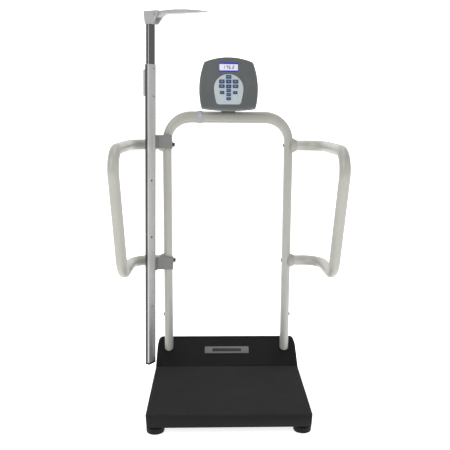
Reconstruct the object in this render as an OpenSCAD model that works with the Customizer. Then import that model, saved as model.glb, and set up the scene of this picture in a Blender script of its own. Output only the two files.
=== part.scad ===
// Digital platform scale with a hoop frame, wide handrails, a swivelling display
// head and a telescoping height rod. Millimetres, +Z up, the front faces -Y, the
// origin is on the floor under the middle of the base.

/* [Base] */
// Width of the platform and its rear cover
base_w = 530; // [440:1:640]
// Depth of the whole base, front to back
base_d = 539; // [460:1:650]
// Depth of the standing surface
platform_d = 400; // [330:1:480]
// Height of the standing surface above the floor
platform_h = 70; // [66:1:100]
// Gap between the floor and the lower edge of the deck
ground_gap = 25; // [24:1:30]
// Thickness of the ribbed mat
mat_t = 4; // [2:0.5:6]
// Thickness of the deck's sheet steel
deck_t = 2.5; // [1.5:0.5:4]
// Corner radius of the deck
deck_corner_r = 10; // [4:1:20]
// How far the deck's skirt draws in towards its lower edge
skirt_draft = 4; // [0:0.5:6]
// Height of the top edge of the rear cover
cover_h = 140; // [120:1:170]
// Wall of the rear cover
cover_t = 3; // [2:0.5:5]
// Radius of the rear cover's top corners
cover_corner_r = 24; // [10:1:30]

/* [Feet] */
// Distance of each foot from the side of the base
foot_inset_x = 29; // [29:1:40]
// Distance of each foot from the front or back of the base
foot_inset_y = 33; // [30:1:45]
// Diameter of the foot pads
foot_d = 58; // [40:1:58]
// Height of the foot pads
foot_h = 21.5; // [18:0.5:21.5]
// Diameter of the threaded foot stems
stem_d = 10; // [8:1:12]

/* [Hoop frame] */
// Distance between the centres of the two uprights
upright_gap = 442; // [380:1:500]
// Distance from the back of the base to the plane of the uprights
upright_setback = 50; // [44:1:60]
// Height of the top of the hoop
hoop_h = 1007; // [960:1:1250]
// Narrow side of the oval tube
tube_narrow = 32; // [28:1:38]
// Wide side of the oval tube
tube_wide = 42; // [38:1:50]
// Wall of the oval tube
tube_wall = 2; // [1.5:0.5:3]
// Radius of the hoop's two bends, on the centre line
hoop_bend_r = 87; // [70:1:120]
// Height of the bolts that hold the hoop on its posts
leg_bolt_z = 244; // [200:1:260]

/* [Handrails] */
// Diameter of the handrail tube
rail_d = 38; // [32:1:42]
// Wall of the handrail tube
rail_wall = 2; // [1.5:0.5:3]
// Height of the upper arms
rail_top_z = 886; // [800:1:895]
// Height of the lower arms
rail_low_z = 455; // [380:1:520]
// How far the upper arms run outward from the middle
rail_shoulder_x = 352; // [330:1:380]
// Distance of the grips' upper corners from the middle
rail_grip_top_x = 373; // [355:1:400]
// Distance of the grips' lower corners from the middle
rail_grip_low_x = 361; // [350:1:400]
// How far the upper corners reach in front of the uprights
rail_reach_top = 341; // [300:1:380]
// How far the lower corners reach in front of the uprights
rail_reach_low = 230; // [180:1:260]
// Radius of the bends next to the uprights
rail_shoulder_r = 70; // [60:1:76]
// Radius of the bends at the grips
rail_grip_r = 68; // [55:1:95]
// Diameter of the frame bolts
bolt_d = 8; // [6:1:10]

/* [Height rod] */
// Distance of the rod's foot from the side of the base, measured to its axis
rod_side = 24.5; // [22:0.5:40]
// Distance of the rod's axis in front of the uprights
rod_front = 49; // [48:1:56]
// Lean of the rod towards the display
rod_lean = 0.8; // [0:0.1:1.2]
// Turn of the rod about its own axis
rod_turn = 34; // [28:1:38]
// Wide side of the outer rod
rod_w = 38; // [34:1:42]
// Narrow side of the outer rod
rod_t = 19; // [17:1:22]
// Wall of the outer rod
rod_wall = 2.2; // [1.6:0.1:2.6]
// Height of the lower end of the outer rod
rod_low_z = 74; // [60:1:100]
// Height of the upper end of the outer rod
rod_top_z = 1168; // [1080:1:1200]
// Length of the inner rod
inner_rod_l = 1000; // [900:1:1080]
// How far the inner rod stands out of the outer rod
inner_rod_out = 164; // [150:1:200]
// Sliding clearance between the rods, on each side
rod_clear = 0.3; // [0.2:0.05:0.5]
// Height of the middle of the upper bracket
bracket_top_z = 899; // [880:1:920]
// Height of the middle of the lower bracket
bracket_low_z = 449; // [440:1:480]
// Length of the measuring arm from the rod's axis to its tip
arm_l = 239; // [200:1:290]

/* [Display] */
// Width of the display housing
display_w = 207; // [180:1:230]
// Height of the display housing
display_h = 190; // [170:1:210]
// Depth of the front shell
front_depth = 20; // [16:1:28]
// Depth of the back shell
back_depth = 35; // [30:1:40]
// Wall of the display shells
shell_t = 3; // [2:0.5:4]
// Backward tilt of the display face
display_tilt = 15; // [8:1:20]
// Diameter of the swivel pin
swivel_d = 20; // [16:1:26]

/* [Hidden] */

// A cut reaches this far past the faces that it goes through
eps = 1;
// Free gap between neighbouring pieces that are not a fit
gap = 0.3;
// Radial clearance of a shaft in its bore
run_fit = 0.1;

front_y = -base_d / 2;
rear_y = base_d / 2;
crease_y = front_y + platform_d;
up_x = upright_gap / 2;
up_y = rear_y - upright_setback;
deck_top_z = platform_h - mat_t;
frame_top_z = deck_top_z - deck_t;
frame_t = 9.5;
frame_low_z = frame_top_z - frame_t;
bar_w = 40;
foot_x = base_w / 2 - foot_inset_x;
foot_y = base_d / 2 - foot_inset_y;

cell_l = 130;
cell_w = 30;
cell_h = 19;
cell_nose = 12;
cell_spacer = 2;
cell_top_z = frame_low_z - cell_spacer;
cell_low_z = cell_top_z - cell_h;
cell_bolt_pitch = 24;
cell_bar_y = foot_y + cell_nose - cell_l + bar_w / 2 - 4;
nut_t = 7;
nut_af = 17;

cover_top_y = rear_y - 6;
cover_angle = atan((cover_h - platform_h) / (cover_top_y - crease_y));

bar_z = hoop_h - tube_wide / 2;
tube_r = tube_narrow / 2;
tube_flat = (tube_wide - tube_narrow) / 2;
leg_low_z = frame_top_z + 1;
bend_z = bar_z - hoop_bend_r;
bar_half = up_x - hoop_bend_r;
post_clear = 0.5;
post_wall = 2.5;
post_top_z = leg_bolt_z + 36;

rail_gap = 8;
saddle_l = 14;
saddle_r = 26;
plug_l = 30;
rail_start_x = up_x + tube_r + rail_gap;

rod_x = base_w / 2 + rod_side;
rod_y = up_y - rod_front;
inner_w = rod_w - 2 * rod_wall - 2 * rod_clear;
inner_t = rod_t - 2 * rod_wall - 2 * rod_clear;
inner_wall = 1.5;
inner_top_z = rod_top_z + inner_rod_out;
bracket_t = 3;
bracket_web = 5;
bracket_tall = 46;
bracket_pitch = 24;
plate_t = 4;
head_wall = 4;
head_low_z = inner_top_z - 30;
head_top_z = inner_top_z + 13;
head_y = inner_w / 2 + head_wall;
fork_half = head_y - 6.5;
pin_x = 32;
pin_z = inner_top_z;
pin_r = 3;
blade_x = pin_x + 26;

disp_y = up_y - 40;
disp_z = hoop_h + 93.5;
pedestal_top_z = hoop_h + 9;
swivel_l = 20;
neck_d = 44;
neck_top_z = pedestal_top_z + 62;

cable_d = 5;
cable_y = up_y + tube_wide / 2 + cable_d / 2 + 1;
cable_start_x = -24;
cable_bend_r = 20;
cable_low_z = frame_top_z + 9.5;
box_w = 90;
box_d = 66;
box_h = 18;
box_y = cable_y - 27;

// Key centres and sizes on the display face: x, up the face, width, height
key_list = [
    [0, 22.5, 18, 13], [-24, 5.5, 19, 13.5], [0, 5.5, 18, 13], [24, 5.5, 19, 13.5],
    [-24, -11.5, 19, 12.5], [0, -12, 18, 13], [24, -11.5, 19, 12.5],
    [0, -27, 15, 11], [-23, -34, 15, 11], [23, -34, 15, 11],
    [0, -41, 15, 11], [0, -56, 15, 10.5]];
key_low = front_depth - 6;
key_high = front_depth + 2.3;
panel_t = 1;
lcd_y = 56.5;

// Colours
c_black = [0.08, 0.08, 0.085];
c_mat = [0.17, 0.17, 0.17];
c_tube = [0.66, 0.66, 0.62];
c_steel = [0.62, 0.63, 0.64];
c_dark_steel = [0.3, 0.31, 0.32];
c_alu = [0.7, 0.71, 0.71];
c_bracket = [0.42, 0.43, 0.42];
c_shell = [0.34, 0.36, 0.36];
c_panel = [0.72, 0.76, 0.8];
c_key = [0.25, 0.33, 0.45];
c_light = [0.75, 0.75, 0.76];

// ---------- helpers ----------

function unit(v) = v / norm(v);

// Moves the children from their own axes to the axes x, y, z at point o
module on_axes(x, y, z, o) {
    multmatrix([
        [x[0], y[0], z[0], o[0]],
        [x[1], y[1], z[1], o[1]],
        [x[2], y[2], z[2], o[2]],
        [0, 0, 0, 1]]) children();
}

// A round rod from point a to point b
module rod_between(a, b, r) {
    z = unit(b - a);
    side = abs(z[2]) < 0.9 ? [0, 0, 1] : [1, 0, 0];
    x = unit(cross(side, z));
    on_axes(x, cross(z, x), z, a) cylinder(r = r, h = norm(b - a), $fn = 48);
}

// A round rod along a route with a bend of its own radius at each inner corner
module bent_rod(route, bends, r) {
    last = len(route) - 1;
    way = [for (i = [0:last - 1]) unit(route[i + 1] - route[i])];
    turn = [for (i = [1:last - 1]) acos(way[i - 1] * way[i])];
    cut = [for (i = [1:last - 1]) bends[i - 1] * tan(turn[i - 1] / 2)];
    for (i = [0:last - 1]) {
        back = i == 0 ? 0 : cut[i - 1];
        ahead = i == last - 1 ? 0 : cut[i];
        rod_between(route[i] + way[i] * back, route[i + 1] - way[i] * ahead, r);
    }
    for (i = [1:last - 1]) {
        inward = unit(way[i] - way[i - 1] * (way[i] * way[i - 1]));
        centre = route[i] - way[i - 1] * cut[i - 1] + inward * bends[i - 1];
        on_axes(-inward, way[i - 1], cross(-inward, way[i - 1]), centre)
            rotate_extrude(angle = turn[i - 1], $fn = 96)
                translate([bends[i - 1], 0]) circle(r = r, $fn = 48);
    }
}

// Stations along a route with round bends: each one is [point, direction]
function bend_stations(route, bends, i, steps) = let(
    a = unit(route[i] - route[i - 1]), b = unit(route[i + 1] - route[i]),
    turn = acos(a * b), cut = bends[i - 1] * tan(turn / 2),
    inward = unit(b - a * (a * b)),
    centre = route[i] - a * cut + inward * bends[i - 1])
    [for (j = [0:steps]) let(t = turn * j / steps)
        [centre - inward * bends[i - 1] * cos(t) + a * bends[i - 1] * sin(t),
            a * cos(t) + inward * sin(t)]];

function route_stations(route, bends, steps) = let(last = len(route) - 1) concat(
    [[route[0], unit(route[1] - route[0])]],
    [for (i = [1:last - 1]) each bend_stations(route, bends, i, steps)],
    [[route[last], unit(route[last] - route[last - 1])]]);

// Carries a side direction along the stations without twisting it
function carried_side(stations, i, side) = i == len(stations) ? [] : let(
    t = stations[i][1], s = unit(side - t * (side * t)))
    concat([s], carried_side(stations, i + 1, s));

// Skin of a hollow tube: n points a ring, all the outer rings and then the inner ones
module ring_mesh(pts, rings, n) {
    inside = rings * n;
    outer = [for (i = [0:rings - 2], k = [0:n - 1], half = [0, 1]) let(
        a = i * n + k, b = i * n + (k + 1) % n, c = a + n, d = b + n)
        half == 0 ? [a, c, b] : [b, c, d]];
    inner = [for (f = outer) [f[0] + inside, f[2] + inside, f[1] + inside]];
    low_cap = [for (k = [0:n - 1], half = [0, 1]) let(
        a = k, b = (k + 1) % n, c = a + inside, d = b + inside)
        half == 0 ? [a, b, c] : [b, d, c]];
    end = (rings - 1) * n;
    high_cap = [for (f = low_cap) [f[0] + end, f[2] + end, f[1] + end]];
    polyhedron(points = pts, faces = concat(outer, inner, low_cap, high_cap));
}

// Rectangle with round corners, centred
module round_rect(w, h, r) {
    square([w - 2 * r, h], center = true);
    square([w, h - 2 * r], center = true);
    for (x = [-1, 1], y = [-1, 1])
        translate([x * (w / 2 - r), y * (h / 2 - r)]) circle(r = r, $fn = 48);
}

// Oval section with straight sides: wide along y
module oval(narrow, wide) {
    r = narrow / 2;
    translate([-r, r - wide / 2]) square([narrow, wide - narrow]);
    for (s = [-1, 1]) translate([0, s * (wide / 2 - r)]) circle(r = r, $fn = 64);
}

// Extrudes a shape drawn in the Y-Z plane along X, from x0
module along_x(x0, l) {
    translate([x0, 0, 0]) rotate([90, 0, 90]) linear_extrude(l) children();
}

// Extrudes a shape drawn in the X-Z plane along Y, from y0
module along_y(y0, l) {
    translate([0, y0 + l, 0]) rotate([90, 0, 0]) linear_extrude(l) children();
}

// Block whose four sides draw in by draft towards its lower face
module drafted_block(w, d, z0, z1, draft, r) {
    intersection() {
        along_y(-d / 2, d) polygon([
            [-w / 2 + draft, z0], [w / 2 - draft, z0], [w / 2, z1], [-w / 2, z1]]);
        along_x(-w / 2, w) polygon([
            [-d / 2 + draft, z0], [d / 2 - draft, z0], [d / 2, z1], [-d / 2, z1]]);
        translate([0, 0, z0]) linear_extrude(z1 - z0) round_rect(w, d, r);
    }
}

// Places the children once at each foot; x and y say which corner
module at_foot(x, y) {
    translate([x * foot_x, y * foot_y, 0]) children();
}

// Hexagon of a given size across its flats
module hexagon(af, h) {
    cylinder(d = af / cos(30), h = h, $fn = 6);
}

// ---------- base ----------

module base_frame() {
    post_bar_front = up_y - 25;
    post_bar_rear = up_y + 20;
    bar_half_w = base_w / 2 - skirt_draft - deck_t - 3.5;
    color(c_dark_steel) difference() {
        union() {
            for (s = [-1, 1]) {
                translate([-bar_half_w, s * cell_bar_y - bar_w / 2, frame_low_z])
                    cube([2 * bar_half_w, bar_w, frame_t]);
                translate([s * base_w * 0.3 - 15, -cell_bar_y - bar_w / 2, frame_low_z])
                    cube([30, cell_bar_y + bar_w / 2 + post_bar_rear, frame_t]);
                for (x = [-1, 1])
                    translate([x * foot_x - cell_w / 2, s * cell_bar_y - bar_w / 2, cell_top_z])
                        cube([cell_w, bar_w, cell_spacer]);
            }
            translate([-bar_half_w, post_bar_front, frame_low_z])
                cube([2 * bar_half_w, post_bar_rear - post_bar_front, frame_t]);
            translate([-box_w / 2, cell_bar_y, frame_low_z])
                cube([box_w, post_bar_rear - cell_bar_y, frame_t]);
        }
        for (x = [-1, 1]) translate([x * foot_x, foot_y, frame_low_z - eps])
            cylinder(r = stem_d / 2 + 4, h = frame_t + 2 * eps, $fn = 48);
        cell_screw_places() translate([0, 0, cell_top_z - eps])
            cylinder(d = 6.2, h = frame_top_z - cell_top_z + 2 * eps, $fn = 32);
    }
}

// The two screws at the fixed end of each load cell
module cell_screw_places() {
    for (x = [-1, 1], y = [-1, 1], s = [-0.5, 0.5])
        translate([x * foot_x, y * (cell_bar_y + s * cell_bolt_pitch), 0]) children();
}

module deck() {
    inner_w = base_w - 2 * deck_t;
    inner_d = base_d - 2 * deck_t;
    color(c_black) difference() {
        drafted_block(base_w, base_d, ground_gap, deck_top_z, skirt_draft, deck_corner_r);
        difference() {
            translate([0, 0, -eps]) drafted_block(
                inner_w, inner_d, ground_gap, frame_top_z + eps, skirt_draft,
                deck_corner_r - deck_t);
            translate([-base_w / 2, front_y, frame_top_z]) cube([base_w, base_d, deck_t]);
        }
        translate([-base_w / 2 + 24, crease_y + 18, frame_top_z - eps])
            cube([base_w - 48, rear_y - 18 - crease_y - 18, deck_t + 2 * eps]);
    }
}

module platform_mat() {
    edge = 1.5;
    middle_y = (front_y + crease_y) / 2;
    color(c_mat) difference() {
        translate([0, middle_y, deck_top_z]) linear_extrude(mat_t)
            round_rect(base_w - 1, platform_d - 1, deck_corner_r);
        for (s = [-1, 1]) translate([s * base_w / 2, middle_y, platform_h]) rotate([0, 45, 0])
            cube([2 * edge, platform_d + 2 * eps, 2 * edge], center = true);
        translate([0, front_y, platform_h]) rotate([45, 0, 0])
            cube([base_w + 2 * eps, 2 * edge, 2 * edge], center = true);
    }
}

// Solid outline of the rear cover, drawn in by an inset on every side
module cover_block(inset) {
    slope = tan(cover_angle);
    lift = inset / cos(cover_angle);
    low_z = deck_top_z - (inset > 0 ? eps : 0);
    front_z = inset > 0 ? low_z : platform_h;
    y0 = crease_y + (front_z - platform_h + lift) / slope;
    top_z = cover_h - inset;
    y1 = crease_y + (top_z - platform_h + lift) / slope;
    r = cover_corner_r - inset;
    half = base_w / 2 - inset;
    intersection() {
        along_x(-base_w / 2, base_w) polygon([
            [y0, low_z], [y0, front_z], [y1 - 14, top_z - 14 * slope], [y1 - 5, top_z - 1],
            [rear_y - inset - 5, top_z - 1], [rear_y - inset, top_z - 7],
            [rear_y - inset, low_z]]);
        along_y(front_y, base_d) union() {
            translate([-half, low_z]) square([2 * half, top_z - r - low_z]);
            translate([r - half, low_z]) square([2 * (half - r), top_z - low_z]);
            for (s = [-1, 1]) translate([s * (half - r), top_z - r]) circle(r = r, $fn = 96);
        }
    }
}

module rear_cover() {
    leg_clear = 1.5;
    color(c_black) difference() {
        cover_block(0);
        cover_block(cover_t);
        for (s = [-1, 1]) translate([s * up_x, up_y, deck_top_z]) linear_extrude(cover_h)
            oval(tube_narrow + 2 * leg_clear, tube_wide + 2 * leg_clear);
        translate([-up_x, cable_y, deck_top_z])
            cylinder(r = cable_d / 2 + leg_clear, h = cover_h, $fn = 48);
    }
}

module badge_plate() {
    plate = [168, 34, 1.2];
    middle = 0.515 * (cover_top_y - crease_y) / cos(cover_angle);
    color(c_steel) translate([0, crease_y, platform_h]) rotate([cover_angle, 0, 0])
        translate([0, middle, 0.03]) linear_extrude(plate[2]) round_rect(plate[0], plate[1], 2);
}

module load_cells() {
    color(c_alu) for (x = [-1, 1], y = [-1, 1]) at_foot(x, y) scale([1, y, 1]) difference() {
        translate([-cell_w / 2, cell_nose - cell_l, cell_low_z]) cube([cell_w, cell_l, cell_h]);
        translate([0, 0, cell_low_z - eps])
            cylinder(r = stem_d / 2 + run_fit, h = cell_h + 2 * eps, $fn = 48);
        for (s = [-0.5, 0.5])
            translate([0, cell_bar_y - foot_y + s * cell_bolt_pitch, cell_low_z - eps])
                cylinder(d = 6.2, h = cell_h + 2 * eps, $fn = 32);
        for (s = [-1, 1])
            translate([0, cell_nose - cell_l / 2 + s * 9, (cell_low_z + cell_top_z) / 2])
                rotate([0, 90, 0])
                    cylinder(d = 12, h = cell_w + 2 * eps, center = true, $fn = 48);
        translate([0, cell_nose - cell_l / 2, (cell_low_z + cell_top_z) / 2])
            cube([cell_w + 2 * eps, 18, 4], center = true);
    }
}

module junction_box() {
    color(c_shell) translate([0, box_y, frame_top_z]) difference() {
        linear_extrude(box_h) round_rect(box_w, box_d, 4);
        translate([0, 0, 2]) linear_extrude(box_h - 4) round_rect(box_w - 4, box_d - 4, 2);
    }
}

module base_screws() {
    head_h = 4;
    color(c_steel) cell_screw_places() {
        translate([0, 0, cell_low_z - head_h]) cylinder(d = 10, h = head_h, $fn = 32);
        translate([0, 0, cell_low_z - eps])
            cylinder(d = 6, h = frame_top_z - cell_low_z + eps - 0.5, $fn = 32);
    }
}

module leg_posts() {
    narrow = tube_narrow - 2 * tube_wall - 2 * post_clear;
    wide = tube_wide - 2 * tube_wall - 2 * post_clear;
    color(c_steel) for (s = [-1, 1]) translate([s * up_x, up_y, 0]) difference() {
        translate([0, 0, frame_top_z]) linear_extrude(post_top_z - frame_top_z) difference() {
            oval(narrow, wide);
            oval(narrow - 2 * post_wall, wide - 2 * post_wall);
        }
        translate([0, 0, leg_bolt_z]) rotate([0, s * 90, 0])
            cylinder(r = bolt_d / 2 + run_fit, h = tube_narrow, $fn = 48);
    }
}

module leg_bolts() {
    color(c_dark_steel) for (s = [-1, 1]) translate([s * (up_x + tube_r), up_y, leg_bolt_z])
        rotate([0, s * 90, 0]) {
            translate([0, 0, -20]) cylinder(d = bolt_d, h = 20, $fn = 48);
            cylinder(r1 = 7, r2 = 4.5, h = 4, $fn = 48);
        }
}

module foot_lock_nuts() {
    color(c_steel) for (x = [-1, 1], y = [-1, 1]) at_foot(x, y)
        translate([0, 0, cell_low_z - gap - nut_t]) difference() {
            hexagon(nut_af, nut_t);
            translate([0, 0, -eps])
                cylinder(r = stem_d / 2 + run_fit, h = nut_t + 2 * eps, $fn = 48);
        }
}

module foot_pad(x, y) {
    r = foot_d / 2;
    well = 8;
    color(c_black) at_foot(x, y) difference() {
        rotate_extrude($fn = 96) polygon([
            [0, 0], [r - 4, 0], [r - 1.2, 1.5], [r, 5], [r, foot_h - 4],
            [r - 1.2, foot_h - 1.2], [r - 4, foot_h], [0, foot_h]]);
        translate([0, 0, well])
            cylinder(r = stem_d / 2 + run_fit, h = foot_h, $fn = 48);
    }
}

module foot_stem(x, y) {
    low_z = 8.2;
    top_z = cell_top_z + 6;
    color(c_steel) at_foot(x, y) difference() {
        translate([0, 0, low_z]) cylinder(d = stem_d, h = top_z - low_z, $fn = 48);
        translate([-stem_d, -0.75, top_z - 2.5]) cube([2 * stem_d, 1.5, 3.5]);
    }
}

// ---------- hoop frame ----------

// One point of the oval section while its long side turns from along Y to along
// the bend's radius; share runs from 0 to 1 and wall draws the section in
function hoop_section(share, wall, k) = let(
    corner = floor(k / 7), angle = corner * 90 + (k % 7) * 15,
    sx = corner == 0 || corner == 3 ? 1 : -1, sy = corner < 2 ? 1 : -1, r = tube_r - wall)
    [sx * tube_flat * share + r * cos(angle), sy * tube_flat * (1 - share) + r * sin(angle)];

// Share of the way from the uprights' section to the top bar's section
function hoop_share(turn) = (1 - cos(2 * turn)) / 2;

// One point of the hoop: turn runs from 0 at the right upright to 180 at the left
// one, and drop lowers the ring below its bend
function hoop_point(turn, drop, wall, k) = let(p = hoop_section(hoop_share(turn), wall, k))
    [sign(90.01 - turn) * bar_half + (hoop_bend_r + p[0]) * cos(turn), up_y + p[1],
        bend_z + (hoop_bend_r + p[0]) * sin(turn) - drop];

module hoop_tube() {
    steps = 12;
    n = 28;
    leg = bend_z - leg_low_z;
    bend_turns = [for (i = [0:steps]) 90 * i / steps];
    rings = concat([[0, leg]], [for (t = bend_turns) [t, 0]],
        [for (t = bend_turns) [90.02 + t * 89.98 / 90, 0]], [[180, leg]]);
    pts = [for (wall = [0, tube_wall], ring = rings, k = [0:n - 1])
        hoop_point(ring[0], ring[1], wall, k)];
    color(c_tube) difference() {
        ring_mesh(pts, len(rings), n);
        for (s = [-1, 1]) {
            for (z = [rail_top_z, rail_low_z]) translate([s * up_x, up_y, z])
                rotate([0, 90, 0])
                    cylinder(d = bolt_d + 0.6, h = 2 * tube_narrow, center = true, $fn = 48);
            translate([s * up_x, up_y, leg_bolt_z]) rotate([0, s * 90, 0])
                cylinder(d = bolt_d + 0.6, h = tube_narrow, $fn = 48);
        }
    }
}

function rail_route(s) = [
    [s * rail_start_x, up_y, rail_top_z], [s * rail_shoulder_x, up_y, rail_top_z],
    [s * rail_grip_top_x, up_y - rail_reach_top, rail_top_z],
    [s * rail_grip_low_x, up_y - rail_reach_low, rail_low_z],
    [s * rail_shoulder_x, up_y, rail_low_z], [s * rail_start_x, up_y, rail_low_z]];
rail_bends = [rail_shoulder_r, rail_grip_r, rail_grip_r, rail_shoulder_r];

module handrail(s) {
    n = 24;
    stations = route_stations(rail_route(s), rail_bends, 8);
    sides = carried_side(stations, 0, [0, 0, 1]);
    pts = [for (wall = [0, rail_wall], i = [0:len(stations) - 1], k = [0:n - 1]) let(
        t = 360 * k / n, out = sides[i] * cos(t) + cross(stations[i][1], sides[i]) * sin(t))
        stations[i][0] + out * (rail_d / 2 - wall)];
    color(c_tube) ring_mesh(pts, len(stations), n);
}

// Places the children at the foot of each handrail arm, with +Z along the arm
module at_arms(sides = [-1, 1]) {
    for (s = sides, z = [rail_top_z, rail_low_z])
        translate([s * up_x, up_y, z]) rotate([0, s * 90, 0]) children();
}

module handrail_saddles() {
    seat = tube_r + rail_gap;
    color(c_tube) difference() {
        at_arms() difference() {
            translate([0, 0, tube_r - 9]) rotate_extrude($fn = 64) polygon([
                [0, 0], [saddle_r, 0], [saddle_r, 9], [rail_d / 2 + 3.4, 9 + saddle_l - 3],
                [rail_d / 2 + 2, 9 + saddle_l], [0, 9 + saddle_l]]);
            translate([0, 0, seat]) cylinder(r = rail_d / 2 + run_fit, h = saddle_l, $fn = 64);
            cylinder(d = bolt_d + 0.6, h = 2 * tube_narrow, $fn = 48);
        }
        for (s = [-1, 1]) translate([s * up_x, up_y, rail_low_z - 100])
            linear_extrude(rail_top_z - rail_low_z + 200)
                oval(tube_narrow + 2 * gap, tube_wide + 2 * gap);
    }
}

module handrail_plugs() {
    color(c_dark_steel) at_arms() translate([0, 0, tube_r + rail_gap]) difference() {
        cylinder(r = rail_d / 2 - rail_wall - gap, h = plug_l, $fn = 64);
        translate([0, 0, -eps])
            cylinder(r = bolt_d / 2 + run_fit, h = plug_l + 2 * eps, $fn = 48);
    }
}

module handrail_bolts() {
    reach = tube_r + rail_gap + plug_l - 4;
    color(c_dark_steel) at_arms([-1]) {
        seat = tube_r + 2 * gap + bracket_t;
        translate([0, 0, -seat]) cylinder(d = bolt_d, h = seat + reach, $fn = 48);
        translate([0, 0, -seat - 1.6]) cylinder(d = 16, h = 1.6, $fn = 48);
        translate([0, 0, -seat - 8]) hexagon(13, 6.4);
    }
    color(c_tube) at_arms([1]) {
        translate([0, 0, -tube_r]) cylinder(d = bolt_d, h = tube_r + reach, $fn = 48);
        translate([0, 0, -tube_r - 3]) cylinder(r1 = 4, r2 = 7, h = 3, $fn = 48);
    }
}

// ---------- signal cable ----------

module signal_cable() {
    route = [
        [cable_start_x, cable_y, bar_z], [-up_x, cable_y, bar_z],
        [-up_x, cable_y, cable_low_z], [-box_w / 2 - gap, cable_y, cable_low_z]];
    gland = [16, cable_y + cable_d / 2 + 2 - up_y - tube_r - gap, 16];
    color(c_shell) {
        bent_rod(route, [hoop_bend_r, cable_bend_r], cable_d / 2);
        translate([cable_start_x, up_y + tube_r + gap, bar_z - gland[2] / 2]) cube(gland);
    }
}

module cable_strap() {
    strap_w = 16;
    strap_t = 1.2;
    strap_x = -102;
    slack = 0.4;
    low_y = -tube_r - slack;
    high_y = cable_y + cable_d / 2 - up_y + slack;
    w = high_y - low_y;
    h = tube_wide + 2 * slack;
    color(c_light) along_x(strap_x - strap_w / 2, strap_w)
        translate([up_y + (low_y + high_y) / 2, bar_z]) difference() {
            round_rect(w + 2 * strap_t, h + 2 * strap_t, 7);
            round_rect(w, h, 6);
        }
}

// ---------- height rod ----------

// Moves the children to the rod's axis: +X is the way the measuring arm points
module at_rod() {
    translate([-rod_x, rod_y, 0]) rotate([0, rod_lean, 0]) rotate([0, 0, -rod_turn])
        children();
}

module rod_bracket(z, bolt_z) {
    back = rod_w / 2 + gap;
    side = rod_t / 2 + gap;
    axis_x = -rod_x + z * tan(rod_lean);
    plate_front = up_y - saddle_r - 1 - plate_t;
    plate_left = axis_x + 5;
    flange_x = up_x - tube_r - 2 * gap - bracket_t;
    flange_back = up_y + 9;
    color(c_bracket) difference() {
        union() {
            at_rod() {
                translate([-side - bracket_t, -10, z - bracket_tall / 2])
                    cube([bracket_t, back + bracket_web + 10, bracket_tall]);
                translate([-side - bracket_t, back, z - bracket_tall / 2])
                    cube([2 * (side + bracket_t), bracket_web, bracket_tall]);
                translate([side, back - 3, z - bracket_tall / 2])
                    cube([bracket_t, bracket_web + 3, bracket_tall]);
            }
            translate([plate_left, plate_front, z - bracket_tall / 2])
                cube([-flange_x - plate_left, plate_t, bracket_tall]);
            translate([-flange_x - bracket_t, plate_front, bolt_z - 14])
                cube([bracket_t, flange_back - plate_front, 27]);
        }
        at_rod() translate([0, 0, z - bracket_tall])
            linear_extrude(2 * bracket_tall) square([2 * side, 2 * back], center = true);
        translate([-flange_x, up_y, bolt_z]) rotate([0, 90, 0])
            cylinder(d = bolt_d + 0.6, h = 6 * bracket_t, center = true, $fn = 48);
        at_bracket_screws(z) {
            translate([0, 0, -eps]) cylinder(d = 4.3, h = 2 * bracket_web, $fn = 32);
            translate([0, 0, bracket_web]) cylinder(d = 9.5, h = 12, $fn = 48);
        }
    }
}

// The two screws through the back of a bracket into the rod; +Z points away from the rod
module at_bracket_screws(z) {
    at_rod() for (s = [-1, 1]) translate([0, rod_w / 2 + gap, z + s * bracket_pitch / 2])
        rotate([-90, 0, 0]) children();
}

module bracket_screws() {
    color(c_steel) for (z = [bracket_top_z, bracket_low_z]) at_bracket_screws(z) {
        translate([0, 0, -gap - rod_wall + 0.4])
            cylinder(d = 4, h = bracket_web + gap + rod_wall - 0.4, $fn = 32);
        translate([0, 0, bracket_web]) cylinder(d = 8, h = 2.5, $fn = 32);
    }
}

module outer_rod() {
    color(c_alu) at_rod() difference() {
        translate([0, 0, rod_low_z]) linear_extrude(rod_top_z - rod_low_z) difference() {
            round_rect(rod_t, rod_w, 1.5);
            square([rod_t - 2 * rod_wall, rod_w - 2 * rod_wall], center = true);
        }
        translate([0, -3, 292]) rotate([0, 90, 0]) cylinder(d = 6, h = rod_t, $fn = 48);
        for (z = [bracket_top_z, bracket_low_z], s = [-1, 1])
            translate([0, 0, z + s * bracket_pitch / 2]) rotate([-90, 0, 0])
                cylinder(d = 4.3, h = rod_w, $fn = 32);
    }
}

module rod_end_cap() {
    lip = 7;
    color(c_black) at_rod() {
        translate([0, 0, rod_low_z - lip]) linear_extrude(lip) round_rect(rod_t, rod_w, 1.5);
        translate([0, 0, rod_low_z]) linear_extrude(10)
            square([rod_t - 2 * rod_wall - 0.2, rod_w - 2 * rod_wall - 0.2], center = true);
    }
}

module scale_tape() {
    color(c_light) at_rod() translate([rod_t / 2, 3, rod_low_z + 20])
        cube([0.4, 12, rod_top_z - rod_low_z - 145]);
}

module guide_strip() {
    reach = 9.5;
    color(c_light) at_rod() translate([-rod_t / 2 - reach, 2 - rod_w / 2, rod_top_z - 110])
        cube([reach, 11, 92]);
}

module rod_screws() {
    color(c_steel) at_rod() {
        for (z = [rod_top_z - 407, rod_top_z - 614]) translate([rod_t / 2, -5, z])
            rotate([0, 90, 0]) cylinder(r1 = 4.5, r2 = 3, h = 1.5, $fn = 48);
        for (z = [rod_top_z - 14, rod_top_z - 110]) translate([rod_t / 2, 7, z])
            rotate([0, 90, 0]) cylinder(r1 = 3, r2 = 2, h = 1.2, $fn = 48);
    }
}

module inner_rod() {
    color(c_alu) at_rod() translate([0, 0, inner_top_z - inner_rod_l])
        linear_extrude(inner_rod_l) difference() {
            round_rect(inner_t, inner_w, 1);
            square([inner_t - 2 * inner_wall, inner_w - 2 * inner_wall], center = true);
        }
}

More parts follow.
